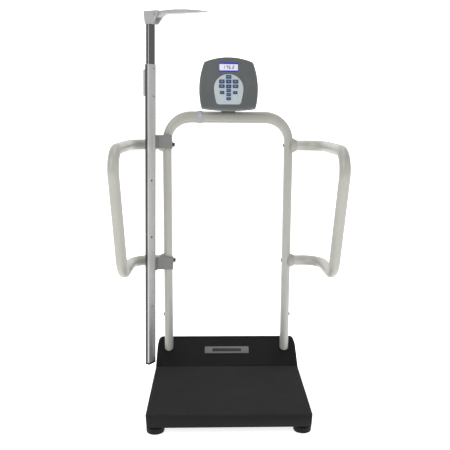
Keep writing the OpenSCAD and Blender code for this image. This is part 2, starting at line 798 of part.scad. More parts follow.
// Head of the inner rod: a sleeve with two cheeks that hold the arm between them
module head_block() {
    snug = 0.1;
    sleeve_x = inner_t / 2 + 7;
    stop_x = pin_x + 11;
    color(c_light) at_rod() difference() {
        along_y(-head_y, 2 * head_y) polygon([
            [-10, head_low_z], [21, head_low_z], [pin_x + 17, pin_z + 6],
            [pin_x + 16, head_top_z], [-13, head_top_z], [-15.5, head_top_z - 4]]);
        difference() {
            translate([sleeve_x, -fork_half, head_low_z - eps])
                cube([2 * pin_x, 2 * fork_half, head_top_z - head_low_z + 2 * eps]);
            along_y(-head_y, 2 * head_y) polygon([
                [stop_x - 5, pin_z - 14], [stop_x, pin_z - 14], [stop_x, pin_z - 8.2],
                [stop_x - 5, pin_z - 8.2]]);
        }
        translate([0, 0, head_low_z - eps])
            linear_extrude(inner_top_z + snug - head_low_z + eps)
                square([inner_t + 2 * snug, inner_w + 2 * snug], center = true);
        translate([pin_x, 0, pin_z]) rotate([90, 0, 0])
            cylinder(r = pin_r + 0.05, h = 4 * head_y, center = true, $fn = 48);
    }
}

module hinge_pin() {
    color(c_steel) at_rod() translate([pin_x, 0, pin_z]) rotate([90, 0, 0])
        cylinder(r = pin_r, h = 2 * head_y + 2, center = true, $fn = 48);
}

module measuring_arm() {
    tongue = fork_half - 0.5;
    root = pin_z + 1;
    color(c_light) at_rod() difference() {
        union() {
            along_y(-tongue, 2 * tongue) union() {
                translate([pin_x, pin_z]) circle(r = 8, $fn = 64);
                polygon([
                    [pin_x, pin_z - 8], [pin_x + 13, pin_z - 8], [blade_x + 2, root],
                    [blade_x + 2, root + 10.5], [pin_x + 2, pin_z + 11], [pin_x - 3, pin_z + 7]]);
            }
            intersection() {
                along_y(-30, 60) polygon([
                    [blade_x, root], [0.6 * arm_l, root - 1], [arm_l - 8, root - 1.5],
                    [arm_l, root - 0.5], [arm_l - 2, root + 1.5], [0.84 * arm_l, root + 6],
                    [0.66 * arm_l, root + 10], [0.5 * arm_l, root + 11.5],
                    [blade_x, root + 10.5]]);
                translate([0, 0, pin_z - 30]) linear_extrude(60) polygon([
                    [blade_x, -15], [0.4 * arm_l, -18], [0.8 * arm_l, -12], [arm_l - 6, -8],
                    [arm_l, -4], [arm_l, 4], [arm_l - 6, 8], [0.8 * arm_l, 12],
                    [0.4 * arm_l, 18], [blade_x, 15]]);
            }
        }
        translate([pin_x, 0, pin_z]) rotate([90, 0, 0])
            cylinder(r = pin_r + run_fit, h = 60, center = true, $fn = 48);
    }
}

// ---------- display ----------

// Moves the children to the display: +Z points out of the face, +Y up the face
module at_display() {
    translate([0, disp_y, disp_z]) rotate([90 - display_tilt, 0, 0]) children();
}

// Outline of the housing: four bowed sides and blunted corners
module display_outline(inset = 0, fine = 720) {
    side_r = 280;
    top_r = 214;
    low_r = 592;
    half_w = display_w / 2;
    half_h = display_h / 2;
    intersection() {
        for (s = [-1, 1]) translate([s * (half_w - side_r), -20])
            circle(r = side_r - inset, $fn = fine / 2);
        translate([0, half_h - top_r]) circle(r = top_r - inset, $fn = fine / 2);
        translate([0, low_r - half_h]) circle(r = low_r - inset, $fn = fine);
        translate([0, -6])
            circle(r = norm([half_w, half_h]) * 0.88 - inset, $fn = fine / 2);
    }
}

// Two outlines that taper towards the back
module back_block(inset) {
    shrink = 0.72;
    hull() {
        translate([0, 0, -0.1]) linear_extrude(0.1 + (inset > 0 ? eps : 0))
            display_outline(inset, 240);
        translate([0, 0, -back_depth + inset]) linear_extrude(0.1) scale(shrink)
            display_outline(inset / shrink, 240);
    }
}

module front_shell() {
    color(c_shell) at_display() difference() {
        linear_extrude(front_depth) display_outline();
        translate([0, 0, -eps]) linear_extrude(front_depth - shell_t + eps)
            display_outline(shell_t);
        translate([0, lcd_y, 0]) linear_extrude(front_depth + eps)
            square([76, 34], center = true);
        key_holes(0.8);
    }
}

// One hole for each key, wider than the key by the margin on each side
module key_holes(margin) {
    for (k = key_list) translate([k[0], k[1], 0]) linear_extrude(front_depth + 5)
        square([k[2] + 2 * margin, k[3] + 2 * margin], center = true);
}

module back_shell() {
    color(c_shell) at_display() difference() {
        back_block(0);
        back_block(shell_t);
    }
}

module keypad_panel() {
    r = 51.5;
    middle = -19;
    low = 57;
    color(c_panel) at_display() difference() {
        translate([0, middle, front_depth]) linear_extrude(panel_t) union() {
            circle(r = r, $fn = 128);
            polygon([
                [-r, 0], [-r + 3, -36], [-r + 7, 6 - low], [-r + 13, -low],
                [r - 13, -low], [r - 7, 6 - low], [r - 3, -36], [r, 0]]);
        }
        key_holes(0.4);
    }
}

module key(i) {
    k = key_list[i];
    color(c_key) at_display() translate([k[0], k[1], key_low])
        linear_extrude(key_high - key_low) round_rect(k[2], k[3], 2);
}

module lcd_module() {
    color(c_light) at_display() translate([-40, lcd_y - 18, front_depth - 12.5])
        cube([80, 36, 9]);
}

module lcd_window() {
    color([0.7, 0.72, 0.85]) at_display() translate([0, lcd_y, front_depth - 3])
        linear_extrude(2.6) square([75.4, 33.4], center = true);
}

module circuit_board() {
    color([0.1, 0.3, 0.15]) at_display() translate([-70, -70, 3]) cube([140, 104, 1.6]);
}

module access_plate() {
    color(c_shell) at_display() translate([0, 14, -back_depth - 2.2]) linear_extrude(2)
        round_rect(86, 46, 4);
}

module pedestal() {
    saddle = [50, 18, 9];
    color(c_shell) difference() {
        translate([0, up_y, 0]) {
            translate([0, 0, hoop_h + 1.5])
                cylinder(d = 56, h = pedestal_top_z - hoop_h - 1.5, $fn = 96);
            translate([-saddle[0] / 2, -saddle[1] / 2, hoop_h + 2 - saddle[2]]) cube(saddle);
            translate([0, 0, pedestal_top_z - eps])
                cylinder(d = swivel_d, h = swivel_l + eps, $fn = 64);
        }
        along_x(-saddle[0], 2 * saddle[0]) translate([up_y, bar_z])
            oval(tube_narrow + 0.2, tube_wide + 0.2);
    }
}

module swivel_neck() {
    color(c_shell) difference() {
        translate([0, up_y, pedestal_top_z + gap])
            cylinder(d = neck_d, h = neck_top_z - pedestal_top_z - gap, $fn = 96);
        translate([0, up_y, pedestal_top_z - eps])
            cylinder(r = swivel_d / 2 + run_fit, h = swivel_l + 2 * eps, $fn = 64);
        at_display() translate([0, 0, -gap / 3]) back_block(0);
        at_display() translate([-60, -120, -back_depth]) cube([120, 240, back_depth + 60]);
    }
}

base_frame();
deck();
platform_mat();
rear_cover();
badge_plate();
load_cells();
junction_box();
base_screws();
leg_posts();
leg_bolts();
foot_lock_nuts();
foot_pad(-1, -1);  // foot_pad_fl
foot_pad(1, -1);  // foot_pad_fr
foot_pad(-1, 1);  // foot_pad_rl
foot_pad(1, 1);  // foot_pad_rr
foot_stem(-1, -1);  // foot_stem_fl
foot_stem(1, -1);  // foot_stem_fr
foot_stem(-1, 1);  // foot_stem_rl
foot_stem(1, 1);  // foot_stem_rr
hoop_tube();
handrail(-1);  // handrail_left
handrail(1);  // handrail_right
handrail_saddles();
handrail_plugs();
handrail_bolts();
cable_strap();
signal_cable();
rod_bracket(bracket_top_z, rail_top_z);  // bracket_upper
rod_bracket(bracket_low_z, rail_low_z);  // bracket_lower
bracket_screws();
outer_rod();
rod_end_cap();
scale_tape();
guide_strip();
rod_screws();
inner_rod();
head_block();
hinge_pin();
measuring_arm();
pedestal();
swivel_neck();
front_shell();
back_shell();
keypad_panel();
lcd_module();
lcd_window();
circuit_board();
access_plate();
key(0);  // key_1
key(1);  // key_2
key(2);  // key_3
key(3);  // key_4
key(4);  // key_5
key(5);  // key_6
key(6);  // key_7
key(7);  // key_8
key(8);  // key_9
key(9);  // key_10
key(10);  // key_11
key(11);  // key_12
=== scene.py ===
"""Looks of the platform scale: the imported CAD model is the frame, and detailed
pieces with procedural materials are built around it. Metres, +Z up."""
import math

import bmesh
import bpy
from mathutils import Matrix, Vector


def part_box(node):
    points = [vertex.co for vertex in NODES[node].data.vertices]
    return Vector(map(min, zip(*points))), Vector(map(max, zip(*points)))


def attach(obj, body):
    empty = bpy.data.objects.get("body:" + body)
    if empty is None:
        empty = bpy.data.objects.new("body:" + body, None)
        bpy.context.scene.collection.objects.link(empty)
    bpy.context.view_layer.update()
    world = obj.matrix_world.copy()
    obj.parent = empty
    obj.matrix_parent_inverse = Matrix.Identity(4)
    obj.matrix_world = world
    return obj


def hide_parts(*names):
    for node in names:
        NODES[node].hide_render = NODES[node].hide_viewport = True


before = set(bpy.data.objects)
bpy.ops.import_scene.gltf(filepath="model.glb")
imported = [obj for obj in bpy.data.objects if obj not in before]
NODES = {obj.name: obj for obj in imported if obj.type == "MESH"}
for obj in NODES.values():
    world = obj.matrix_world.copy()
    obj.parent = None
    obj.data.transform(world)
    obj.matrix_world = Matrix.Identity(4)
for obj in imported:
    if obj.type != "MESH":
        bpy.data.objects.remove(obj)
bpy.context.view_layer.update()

V = Vector

NOISE_LOW, NOISE_HIGH = 0.3, 0.7    # the part of a noise's range that is used
WEAR_START, WEAR_END = 0.53, 0.6    # pointiness at which an edge starts to wear
SHARP_ANGLE, CARVED_ANGLE = math.radians(35), math.radians(30)
BEVEL_SEGMENTS = 3
RING_POINTS = 48                    # points round a tube


# ---------------------------------------------------------------- materials

def shader(name):
    """An empty node material with its Principled shader."""
    mat = bpy.data.materials.new(name)
    mat.use_nodes = True
    tree = mat.node_tree
    return mat, tree, tree.nodes["Principled BSDF"]


def object_noise(tree, scale, detail=3.0, stretch=(1, 1, 1)):
    """Noise in the object's own coordinates; returns its Fac socket."""
    coords = tree.nodes.new("ShaderNodeTexCoord")
    mapping = tree.nodes.new("ShaderNodeMapping")
    mapping.inputs["Scale"].default_value = stretch
    noise = tree.nodes.new("ShaderNodeTexNoise")
    noise.inputs["Scale"].default_value = scale
    noise.inputs["Detail"].default_value = detail
    tree.links.new(coords.outputs["Object"], mapping.inputs["Vector"])
    tree.links.new(mapping.outputs["Vector"], noise.inputs["Vector"])
    return noise.outputs["Fac"]


def ramp(tree, fac, low, high):
    """Colours a 0..1 value from low to high."""
    node = tree.nodes.new("ShaderNodeValToRGB")
    node.color_ramp.elements[0].position = NOISE_LOW
    node.color_ramp.elements[0].color = (*low, 1)
    node.color_ramp.elements[1].position = NOISE_HIGH
    node.color_ramp.elements[1].color = (*high, 1)
    tree.links.new(fac, node.inputs["Fac"])
    return node.outputs["Color"]


def spread(tree, fac, low, high):
    """Maps a 0..1 value to low..high."""
    node = tree.nodes.new("ShaderNodeMapRange")
    node.inputs["From Min"].default_value = NOISE_LOW
    node.inputs["From Max"].default_value = NOISE_HIGH
    node.inputs["To Min"].default_value = low
    node.inputs["To Max"].default_value = high
    tree.links.new(fac, node.inputs["Value"])
    return node.outputs["Result"]


def edge_mask(tree):
    """1 on worn outer edges, 0 elsewhere."""
    geo = tree.nodes.new("ShaderNodeNewGeometry")
    node = tree.nodes.new("ShaderNodeMapRange")
    node.inputs["From Min"].default_value = WEAR_START
    node.inputs["From Max"].default_value = WEAR_END
    tree.links.new(geo.outputs["Pointiness"], node.inputs["Value"])
    return node.outputs["Result"]


def finish_material(name, colour, vary=0.06, patch=9.0, rough=(0.4, 0.55), metallic=0.0,
                    grain=900.0, grain_depth=0.00006, grain_strength=0.25,
                    stretch=(1, 1, 1), wear=None, coat=0.0, specular=0.5):
    """A finish with colour patches, uneven roughness, fine grain and edge wear."""
    mat, tree, bsdf = shader(name)
    low = tuple(c * (1 - vary) for c in colour)
    high = tuple(min(1, c * (1 + vary)) for c in colour)
    patches = object_noise(tree, patch, 4.0, stretch)
    tint = ramp(tree, patches, low, high)
    if wear:
        mix = tree.nodes.new("ShaderNodeMix")
        mix.data_type = "RGBA"
        mix.inputs["B"].default_value = (*wear, 1)
        tree.links.new(edge_mask(tree), mix.inputs["Factor"])
        tree.links.new(tint, mix.inputs["A"])
        tint = mix.outputs["Result"]
    tree.links.new(tint, bsdf.inputs["Base Color"])
    tree.links.new(spread(tree, object_noise(tree, patch * 5, 5.0, stretch), *rough),
                   bsdf.inputs["Roughness"])
    bump = tree.nodes.new("ShaderNodeBump")
    bump.inputs["Strength"].default_value = grain_strength
    bump.inputs["Distance"].default_value = grain_depth
    tree.links.new(object_noise(tree, grain, 2.0, stretch), bump.inputs["Height"])
    tree.links.new(bump.outputs["Normal"], bsdf.inputs["Normal"])
    bsdf.inputs["Metallic"].default_value = metallic
    bsdf.inputs["Coat Weight"].default_value = coat
    bsdf.inputs["Specular IOR Level"].default_value = specular
    return mat


BRUSHED = (1, 1, 0.02)
M = {
    "tube": finish_material("tube_powder_coat", (0.4, 0.395, 0.36), 0.04, 6, (0.33, 0.45),
                            0.15, 1400, 0.00008, 0.3, wear=(0.5, 0.49, 0.46)),
    "saddle": finish_material("saddle_powder_coat", (0.36, 0.355, 0.325), 0.05, 10,
                              (0.35, 0.48), 0.15, 1400, 0.00008, 0.3),
    "deck": finish_material("deck_powder_coat", (0.0055, 0.0055, 0.0058), 0.1, 8, (0.46, 0.54),
                            0.0, 1600, 0.0001, 0.3, wear=(0.014, 0.014, 0.014), specular=0.14),
    "cover": finish_material("cover_grain", (0.005, 0.005, 0.0053), 0.08, 7, (0.5, 0.58), 0.0,
                             1500, 0.0001, 0.35, wear=(0.013, 0.013, 0.013), specular=0.12),
    "mat": finish_material("mat_rubber", (0.0195, 0.0195, 0.02), 0.06, 12, (0.74, 0.8), 0.0,
                           900, 0.00015, 0.4, specular=0.12),
    "foot": finish_material("foot_rubber", (0.005, 0.005, 0.005), 0.2, 30, (0.5, 0.62), 0.0,
                            1000, 0.0002, 0.4, specular=0.2),
    "bracket": finish_material("bracket_powder_coat", (0.135, 0.138, 0.135), 0.08, 14,
                               (0.4, 0.55), 0.1, 1300, 0.0001, 0.4, wear=(0.2, 0.2, 0.2)),
    "frame": finish_material("frame_powder_coat", (0.06, 0.062, 0.064), 0.1, 10, (0.45, 0.6),
                             0.1, 1200, 0.0001, 0.4, wear=(0.12, 0.12, 0.12)),
    "alu": finish_material("rod_anodised", (0.43, 0.433, 0.428), 0.05, 30, (0.36, 0.5), 0.4,
                           500, 0.00004, 0.3, BRUSHED),
    # dark grey of the inner rod; the same material paints the shade strip on the outer rod's
    # narrow face, standing in for a dark reflection
    "dark_alu_and_painted_shade": finish_material("rod_dark_and_painted_shade", (0.062, 0.063, 0.062), 0.1, 30, (0.38, 0.52), 0.25,
                                500, 0.00004, 0.3, BRUSHED),
    # painted highlight: bright aluminium that stands in for light caught on the rods' rounded
    # corners
    "painted_highlight": finish_material("rod_painted_highlight", (0.52, 0.52, 0.51), 0.04, 30, (0.3, 0.4), 0.2,
                                 500, 0.00004, 0.2, BRUSHED),
    "cell": finish_material("machined_aluminium", (0.5, 0.505, 0.51), 0.05, 30, (0.3, 0.42),
                            0.9, 500, 0.00004, 0.3, BRUSHED),
    "steel": finish_material("zinc_steel", (0.42, 0.42, 0.43), 0.1, 60, (0.28, 0.42), 0.9,
                             1500, 0.00004, 0.3),
    "rivet": finish_material("rivet_steel", (0.12, 0.12, 0.125), 0.1, 60, (0.3, 0.45), 0.7,
                             1500, 0.00004, 0.3),
    "dark_steel": finish_material("blackened_steel", (0.045, 0.045, 0.048), 0.15, 60,
                                  (0.35, 0.5), 0.6, 1500, 0.00005, 0.3),
    "shell": finish_material("shell_plastic", (0.098, 0.106, 0.106), 0.07, 12, (0.36, 0.48),
                             0.0, 1500, 0.0001, 0.4, wear=(0.13, 0.14, 0.14), specular=0.4),
    "light": finish_material("arm_plastic", (0.36, 0.363, 0.37), 0.05, 18, (0.35, 0.48), 0.0,
                             1300, 0.00008, 0.3),
    "tape": finish_material("tape_film", (0.47, 0.47, 0.46), 0.05, 25, (0.35, 0.5)),
    "print": finish_material("tape_ink", (0.04, 0.04, 0.042), 0.1, 80, (0.5, 0.6)),
    "strap": finish_material("strap_weave", (0.4, 0.4, 0.46), 0.1, 60, (0.55, 0.7), 0.0,
                             1800, 0.0003, 0.6),
    "cable": finish_material("cable_jacket", (0.03, 0.031, 0.033), 0.12, 40, (0.45, 0.6)),
    "panel": finish_material("panel_film", (0.44, 0.49, 0.52), 0.05, 16, (0.32, 0.44), 0.0,
                             1200, 0.00006, 0.3),
    "panel_blue": finish_material("panel_zone", (0.34, 0.44, 0.54), 0.05, 16, (0.32, 0.44), 0.0,
                                  1200, 0.00006, 0.3),
    "key": finish_material("key_navy", (0.03, 0.052, 0.12), 0.1, 90, (0.32, 0.44), 0.0,
                           1500, 0.00006, 0.3),
    "legend": finish_material("key_legend", (0.3, 0.36, 0.46), 0.05, 200, (0.4, 0.5)),
    "lcd_border": finish_material("lcd_border", (0.025, 0.035, 0.5), 0.08, 40, (0.3, 0.4)),
    "lcd": finish_material("lcd_face", (0.74, 0.73, 0.86), 0.04, 40, (0.25, 0.35), 0.0,
                           900, 0.00003, 0.1),
    "lcd_ink": finish_material("lcd_ink", (0.008, 0.009, 0.02), 0.08, 60, (0.3, 0.4)),
    "badge": finish_material("badge_brushed", (0.12, 0.121, 0.125), 0.08, 20, (0.36, 0.48), 0.4,
                             300, 0.00005, 0.4, (0.03, 1, 1)),
    "badge_ink": finish_material("badge_inlay", (0.022, 0.022, 0.024), 0.08, 60, (0.4, 0.5),
                                 specular=0.2),
    "board": finish_material("board_lacquer", (0.02, 0.1, 0.04), 0.15, 60, (0.3, 0.4)),
}


# ---------------------------------------------------------------- mesh helpers

def new_object(name, mesh, mat, body, replaces=()):
    """Adds a mesh as a piece that rides on a body."""
    obj = bpy.data.objects.new(name, mesh)
    bpy.context.scene.collection.objects.link(obj)
    if not mesh.materials:
        mesh.materials.append(M[mat])
    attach(obj, body)
    if replaces:
        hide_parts(*replaces)
    return obj


def mesh_from(name, points, faces, smooth=True):
    """A mesh with merged points, outward faces and its sharp edges marked."""
    bm = bmesh.new()
    verts = [bm.verts.new(p) for p in points]
    for f in faces:
        if len(set(f)) == len(f):
            bm.faces.new([verts[i] for i in f])
    bmesh.ops.remove_doubles(bm, verts=bm.verts, dist=1e-6)
    bmesh.ops.recalc_face_normals(bm, faces=bm.faces)
    mesh = bpy.data.meshes.new(name)
    bm.to_mesh(mesh)
    bm.free()
    if smooth:
        mesh.polygons.foreach_set("use_smooth", [True] * len(mesh.polygons))
        mesh.set_sharp_from_angle(angle=SHARP_ANGLE)
    return mesh


def ring_faces(rings, n, closed=False):
    """Quads between rings of n points, and end caps unless the rings close."""
    faces = []
    span = rings if closed else rings - 1
    for i in range(span):
        a, b = i * n, (i + 1) % rings * n
        faces += [[a + k, a + (k + 1) % n, b + (k + 1) % n, b + k] for k in range(n)]
    if not closed:
        faces.append(list(range(n))[::-1])
        faces.append([(rings - 1) * n + k for k in range(n)])
    return faces


def rings_mesh(name, rings, closed=False):
    """A skin over equal rings of points; a closed one is a ring of rings, such as
    a tube with a bore."""
    return mesh_from(name, [p for r in rings for p in r],
                     ring_faces(len(rings), len(rings[0]), closed))


def bent_path(route, radii, steps=20):
    """Stations (point, direction) along a route with round bends."""
    out = [(route[0], (route[1] - route[0]).normalized())]
    for i, radius in enumerate(radii, 1):
        a = (route[i] - route[i - 1]).normalized()
        b = (route[i + 1] - route[i]).normalized()
        turn = a.angle(b)
        cut = radius * math.tan(turn / 2)
        inward = (b - a * a.dot(b)).normalized()
        centre = route[i] - a * cut + inward * radius
        for j in range(steps + 1):
            t = turn * j / steps
            out.append((centre - inward * radius * math.cos(t) + a * radius * math.sin(t),
                        a * math.cos(t) + inward * math.sin(t)))
    out.append((route[-1], (route[-1] - route[-2]).normalized()))
    return out


def tube_rings(stations, radius):
    """Circles round the stations, carried along without twist."""
    side = V((0, 0, 1))
    rings = []
    for p, t in stations:
        side = (side - t * side.dot(t)).normalized()
        up = t.cross(side)
        rings.append([p + (side * math.cos(a) + up * math.sin(a)) * radius
                      for a in (math.tau * k / RING_POINTS for k in range(RING_POINTS))])
    return rings


def hollow(stations, outer, inner):
    """A tube's outer rings, then its inner rings backwards, as one closed loop."""
    return tube_rings(stations, outer) + tube_rings(stations, inner)[::-1]


def round_outline(w, h, r, n=8):
    """Points of a rectangle with round corners, centred."""
    pts = []
    for cx, cy, start in ((1, 1, 0), (-1, 1, 90), (-1, -1, 180), (1, -1, 270)):
        for k in range(n + 1):
            a = math.radians(start + 90 * k / n)
            pts.append((cx * (w / 2 - r) + r * math.cos(a), cy * (h / 2 - r) + r * math.sin(a)))
    return pts


def soft_plate(name, outline, low, high, place, edge=0.0006, steps=4):
    """An outline raised from low to high with a rounded upper edge.
    place maps (x, y, height) to a point."""
    cx = sum(p[0] for p in outline) / len(outline)
    cy = sum(p[1] for p in outline) / len(outline)
    half = max(math.hypot(p[0] - cx, p[1] - cy) for p in outline)

    def ring(inset, z):
        k = 1 - inset / half
        return [place(cx + (x - cx) * k, cy + (y - cy) * k, z) for x, y in outline]

    rings = [ring(0, low)]
    rings += [ring(edge * (1 - math.cos(a)), high - edge * (1 - math.sin(a)))
              for a in (math.pi / 2 * k / steps for k in range(steps + 1))]
    return rings_mesh(name, rings)


def boxes_mesh(name, spans, place):
    """Many small blocks in one mesh; spans are (x0, x1, y0, y1, z0, z1)."""
    points, faces = [], []
    for x0, x1, y0, y1, z0, z1 in spans:
        base = len(points)
        points += [place(x, y, z) for z in (z0, z1) for x, y in
                   ((x0, y0), (x1, y0), (x1, y1), (x0, y1))]
        faces += [[base + i for i in f] for f in
                  ((0, 3, 2, 1), (4, 5, 6, 7), (0, 1, 5, 4), (1, 2, 6, 5), (2, 3, 7, 6),
                   (3, 0, 4, 7))]
    return mesh_from(name, points, faces, smooth=False)


def carve(obj, cutter_mesh):
    """Cuts a mesh out of an object and keeps the result as plain mesh."""
    cutter = bpy.data.objects.new("cutter", cutter_mesh)
    bpy.context.scene.collection.objects.link(cutter)
    mod = obj.modifiers.new("carve", "BOOLEAN")
    mod.operation, mod.solver, mod.object = "DIFFERENCE", "EXACT", cutter
    bpy.context.view_layer.update()
    done = bpy.data.meshes.new_from_object(
        obj.evaluated_get(bpy.context.evaluated_depsgraph_get()))
    obj.modifiers.clear()
    obj.data = done
    bpy.data.objects.remove(cutter)
    done.polygons.foreach_set("use_smooth", [True] * len(done.polygons))
    done.set_sharp_from_angle(angle=CARVED_ANGLE)


def dress(node, mat, bevel):
    """Keeps a CAD node: gives it a material and rounds its edges."""
    obj = NODES[node]
    obj.data.materials.clear()
    obj.data.materials.append(M[mat])
    weld = obj.modifiers.new("weld", "WELD")
    weld.merge_threshold = 1e-5
    if bevel:
        mod = obj.modifiers.new("round", "BEVEL")
        mod.width, mod.segments = bevel, BEVEL_SEGMENTS
        mod.limit_method, mod.angle_limit = "ANGLE", SHARP_ANGLE
        mod.harden_normals = True
    normals = obj.modifiers.new("normals", "WEIGHTED_NORMAL")
    normals.keep_sharp = False
    return obj


# ---------------------------------------------------------------- kept CAD nodes

KEPT = {
    "frame": [("base_frame", 0.001)],
    "deck": [("deck", 0.0022)],
    "cover": [("rear_cover", 0.0025)],
    "steel": [("foot_lock_nuts", 0.0006), ("base_screws", 0.0005), ("leg_posts", 0.0004),
              ("bracket_screws", 0.0006), ("hinge_pin", 0.0004)],
    "alu": [("outer_rod", 0.0008)],
    "dark_alu_and_painted_shade": [("inner_rod", 0.0006)],
    # the inner rod takes the dark grey that also paints shade on the outer rod
    "cell": [("load_cells", 0.0006)],
    "rivet": [("rod_screws", 0.0003)],
    "dark_steel": [("leg_bolts", 0.0007), ("handrail_bolts", 0.0008), ("handrail_plugs", 0.0005)],
    "saddle": [("handrail_saddles", 0.001)],
    "bracket": [("bracket_upper", 0.0008), ("bracket_lower", 0.0008)],
    "foot": [("rod_end_cap", 0.0012)],
    "light": [("guide_strip", 0.0012), ("head_block", 0.0015), ("measuring_arm", 0.0012)],
    "shell": [("junction_box", 0.0012), ("pedestal", 0.0015), ("swivel_neck", 0.0015),
              ("access_plate", 0.0008)],
    "board": [("circuit_board", 0.0), ("lcd_module", 0.0005)],
}
for mat_name, group in KEPT.items():
    for node_name, width in group:
        dress(node_name, mat_name, width)
for corner in ("fl", "fr", "rl", "rr"):
    dress("foot_pad_" + corner, "foot", 0.0008)
    dress("foot_stem_" + corner, "steel", 0.0005)


# ---------------------------------------------------------------- hoop frame

hoop_lo, hoop_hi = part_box("hoop_tube")
TUBE_NARROW, TUBE_WIDE, TUBE_WALL = 0.032, 0.042, 0.002
HOOP_BEND = 0.087
up_x = hoop_hi.x - TUBE_NARROW / 2
up_y = (hoop_lo.y + hoop_hi.y) / 2
bar_z = hoop_hi.z - TUBE_WIDE / 2
bar_half = up_x - HOOP_BEND
bend_z = bar_z - HOOP_BEND


def hoop_ring(turn, drop, wall):
    """Oval ring of the hoop at a turn of 0..180 degrees from the right upright."""
    a = math.radians(turn)
    share = (1 - math.cos(2 * a)) / 2
    r, flat = TUBE_NARROW / 2 - wall, (TUBE_WIDE - TUBE_NARROW) / 2
    side = 1 if turn < 90.001 else -1
    ring = []
    for k in range(RING_POINTS):
        c = math.tau * (k + 0.5) / RING_POINTS
        p = math.copysign(flat * share, math.cos(c)) + r * math.cos(c)
        q = math.copysign(flat * (1 - share), math.sin(c)) + r * math.sin(c)
        ring.append(V((side * bar_half + (HOOP_BEND + p) * math.cos(a), up_y + q,
                       bend_z + (HOOP_BEND + p) * math.sin(a) - drop)))
    return ring


bend_turns = [90 * i / 28 for i in range(29)]
leg = bend_z - hoop_lo.z
hoop_path = ([(0, leg)] + [(t, 0) for t in bend_turns]
             + [(90.02 + t * 89.98 / 90, 0) for t in bend_turns] + [(180, leg)])
hoop_rings = ([hoop_ring(t, d, 0) for t, d in hoop_path]
              + [hoop_ring(t, d, TUBE_WALL) for t, d in hoop_path[::-1]])
new_object("hoop_smooth", rings_mesh("hoop_smooth", hoop_rings, True), "tube", "frame",
           ["hoop_tube"])


# ---------------------------------------------------------------- handrails

RAIL_R, RAIL_WALL = 0.019, 0.002
RAIL_BENDS = (0.070, 0.068, 0.068, 0.070)
rail_lo, rail_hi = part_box("handrail_right")
rail_start = rail_lo.x
top_z, low_z = rail_hi.z - RAIL_R, rail_lo.z + RAIL_R
SHOULDER_X, GRIP_TOP_X, GRIP_LOW_X = 0.352, 0.373, 0.361
REACH_TOP, REACH_LOW = 0.341, 0.230
for side, label in ((-1, "left"), (1, "right")):
    route = [V((side * x, up_y - y, z)) for x, y, z in (
        (rail_start, 0, top_z), (SHOULDER_X, 0, top_z), (GRIP_TOP_X, REACH_TOP, top_z),
        (GRIP_LOW_X, REACH_LOW, low_z), (SHOULDER_X, 0, low_z), (rail_start, 0, low_z))]
    stations = bent_path(route, RAIL_BENDS)
    skin = rings_mesh("rail", hollow(stations, RAIL_R, RAIL_R - RAIL_WALL), True)
    new_object(f"handrail_{label}_smooth", skin, "tube", "frame",
               [f"handrail_{label}"])


# ---------------------------------------------------------------- platform mat

mat_lo, mat_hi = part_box("platform_mat")
RIB_PITCH, RIB_H, MAT_EDGE, MAT_R = 0.0062, 0.0007, 0.0025, 0.010
mat_w, mat_d = mat_hi.x - mat_lo.x, mat_hi.y - mat_lo.y
mat_cy = (mat_lo.y + mat_hi.y) / 2


def on_mat(x, y, z):
    """x and y from the mat's middle, z from the floor."""
    return V((x, mat_cy + y, z))


new_object("mat_body", soft_plate("mat_body", round_outline(mat_w, mat_d, MAT_R, 10),
                                  mat_lo.z, mat_hi.z - RIB_H, on_mat, MAT_EDGE), "mat", "frame",
           ["platform_mat"])
rib_points, rib_faces = [], []
rib_count = int((mat_d - 4 * MAT_EDGE) / RIB_PITCH)
for i in range(rib_count):
    y = -mat_d / 2 + 2 * MAT_EDGE + (i + 0.5) * RIB_PITCH
    half = mat_w / 2 - 2.2 * MAT_EDGE
    base = len(rib_points)
    profile = [(-0.46, 0), (-0.3, 0.8), (-0.12, 1), (0.12, 1), (0.3, 0.8), (0.46, 0)]
    for x in (-half, half):
        for u, h in profile:
            shrink = 0.002 * h
            rib_points.append(on_mat(x - math.copysign(shrink, x), y + u * RIB_PITCH,
                                     mat_hi.z - RIB_H * (1.05 - h)))
    n = len(profile)
    rib_faces += [[base + k, base + k + 1, base + n + k + 1, base + n + k] for k in range(n - 1)]
    rib_faces += [[base + k for k in range(n)][::-1], [base + n + k for k in range(n)]]
new_object("mat_ribs", mesh_from("mat_ribs", rib_points, rib_faces), "mat", "frame")


# ---------------------------------------------------------------- badge plate

badge_lo, badge_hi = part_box("badge_plate")
BADGE_H, BADGE_T = 0.034, 0.0012
badge_w, badge_rise = badge_hi.x - badge_lo.x, badge_hi.z - badge_lo.z
badge_run = badge_hi.y - badge_lo.y
mean = (badge_rise + badge_run) / (BADGE_H + BADGE_T) / 2
half_gap = (badge_rise - badge_run) / (BADGE_H - BADGE_T) / 2
COVER_ANGLE = math.atan2(mean + half_gap, mean - half_gap)
badge_c = (badge_lo + badge_hi) / 2
badge_n = V((0, -math.sin(COVER_ANGLE), math.cos(COVER_ANGLE)))
badge_u = V((0, math.cos(COVER_ANGLE), math.sin(COVER_ANGLE)))


def on_badge(x, y, z):
    """x across the plate, y up its slope, z out of it."""
    return badge_c + V((x, 0, 0)) + badge_u * y + badge_n * z


new_object("badge_rounded", soft_plate("badge", round_outline(badge_w, BADGE_H, 0.002),
                                       -BADGE_T / 2, BADGE_T / 2, on_badge, 0.0004), "badge",
           "frame", ["badge_plate"])
new_object("badge_band", soft_plate("band", round_outline(0.110, 0.0155, 0.002), 0.0005,
                                    BADGE_T / 2 + 0.0001, on_badge, 0.0001), "badge_ink",
           "frame")


# ---------------------------------------------------------------- display

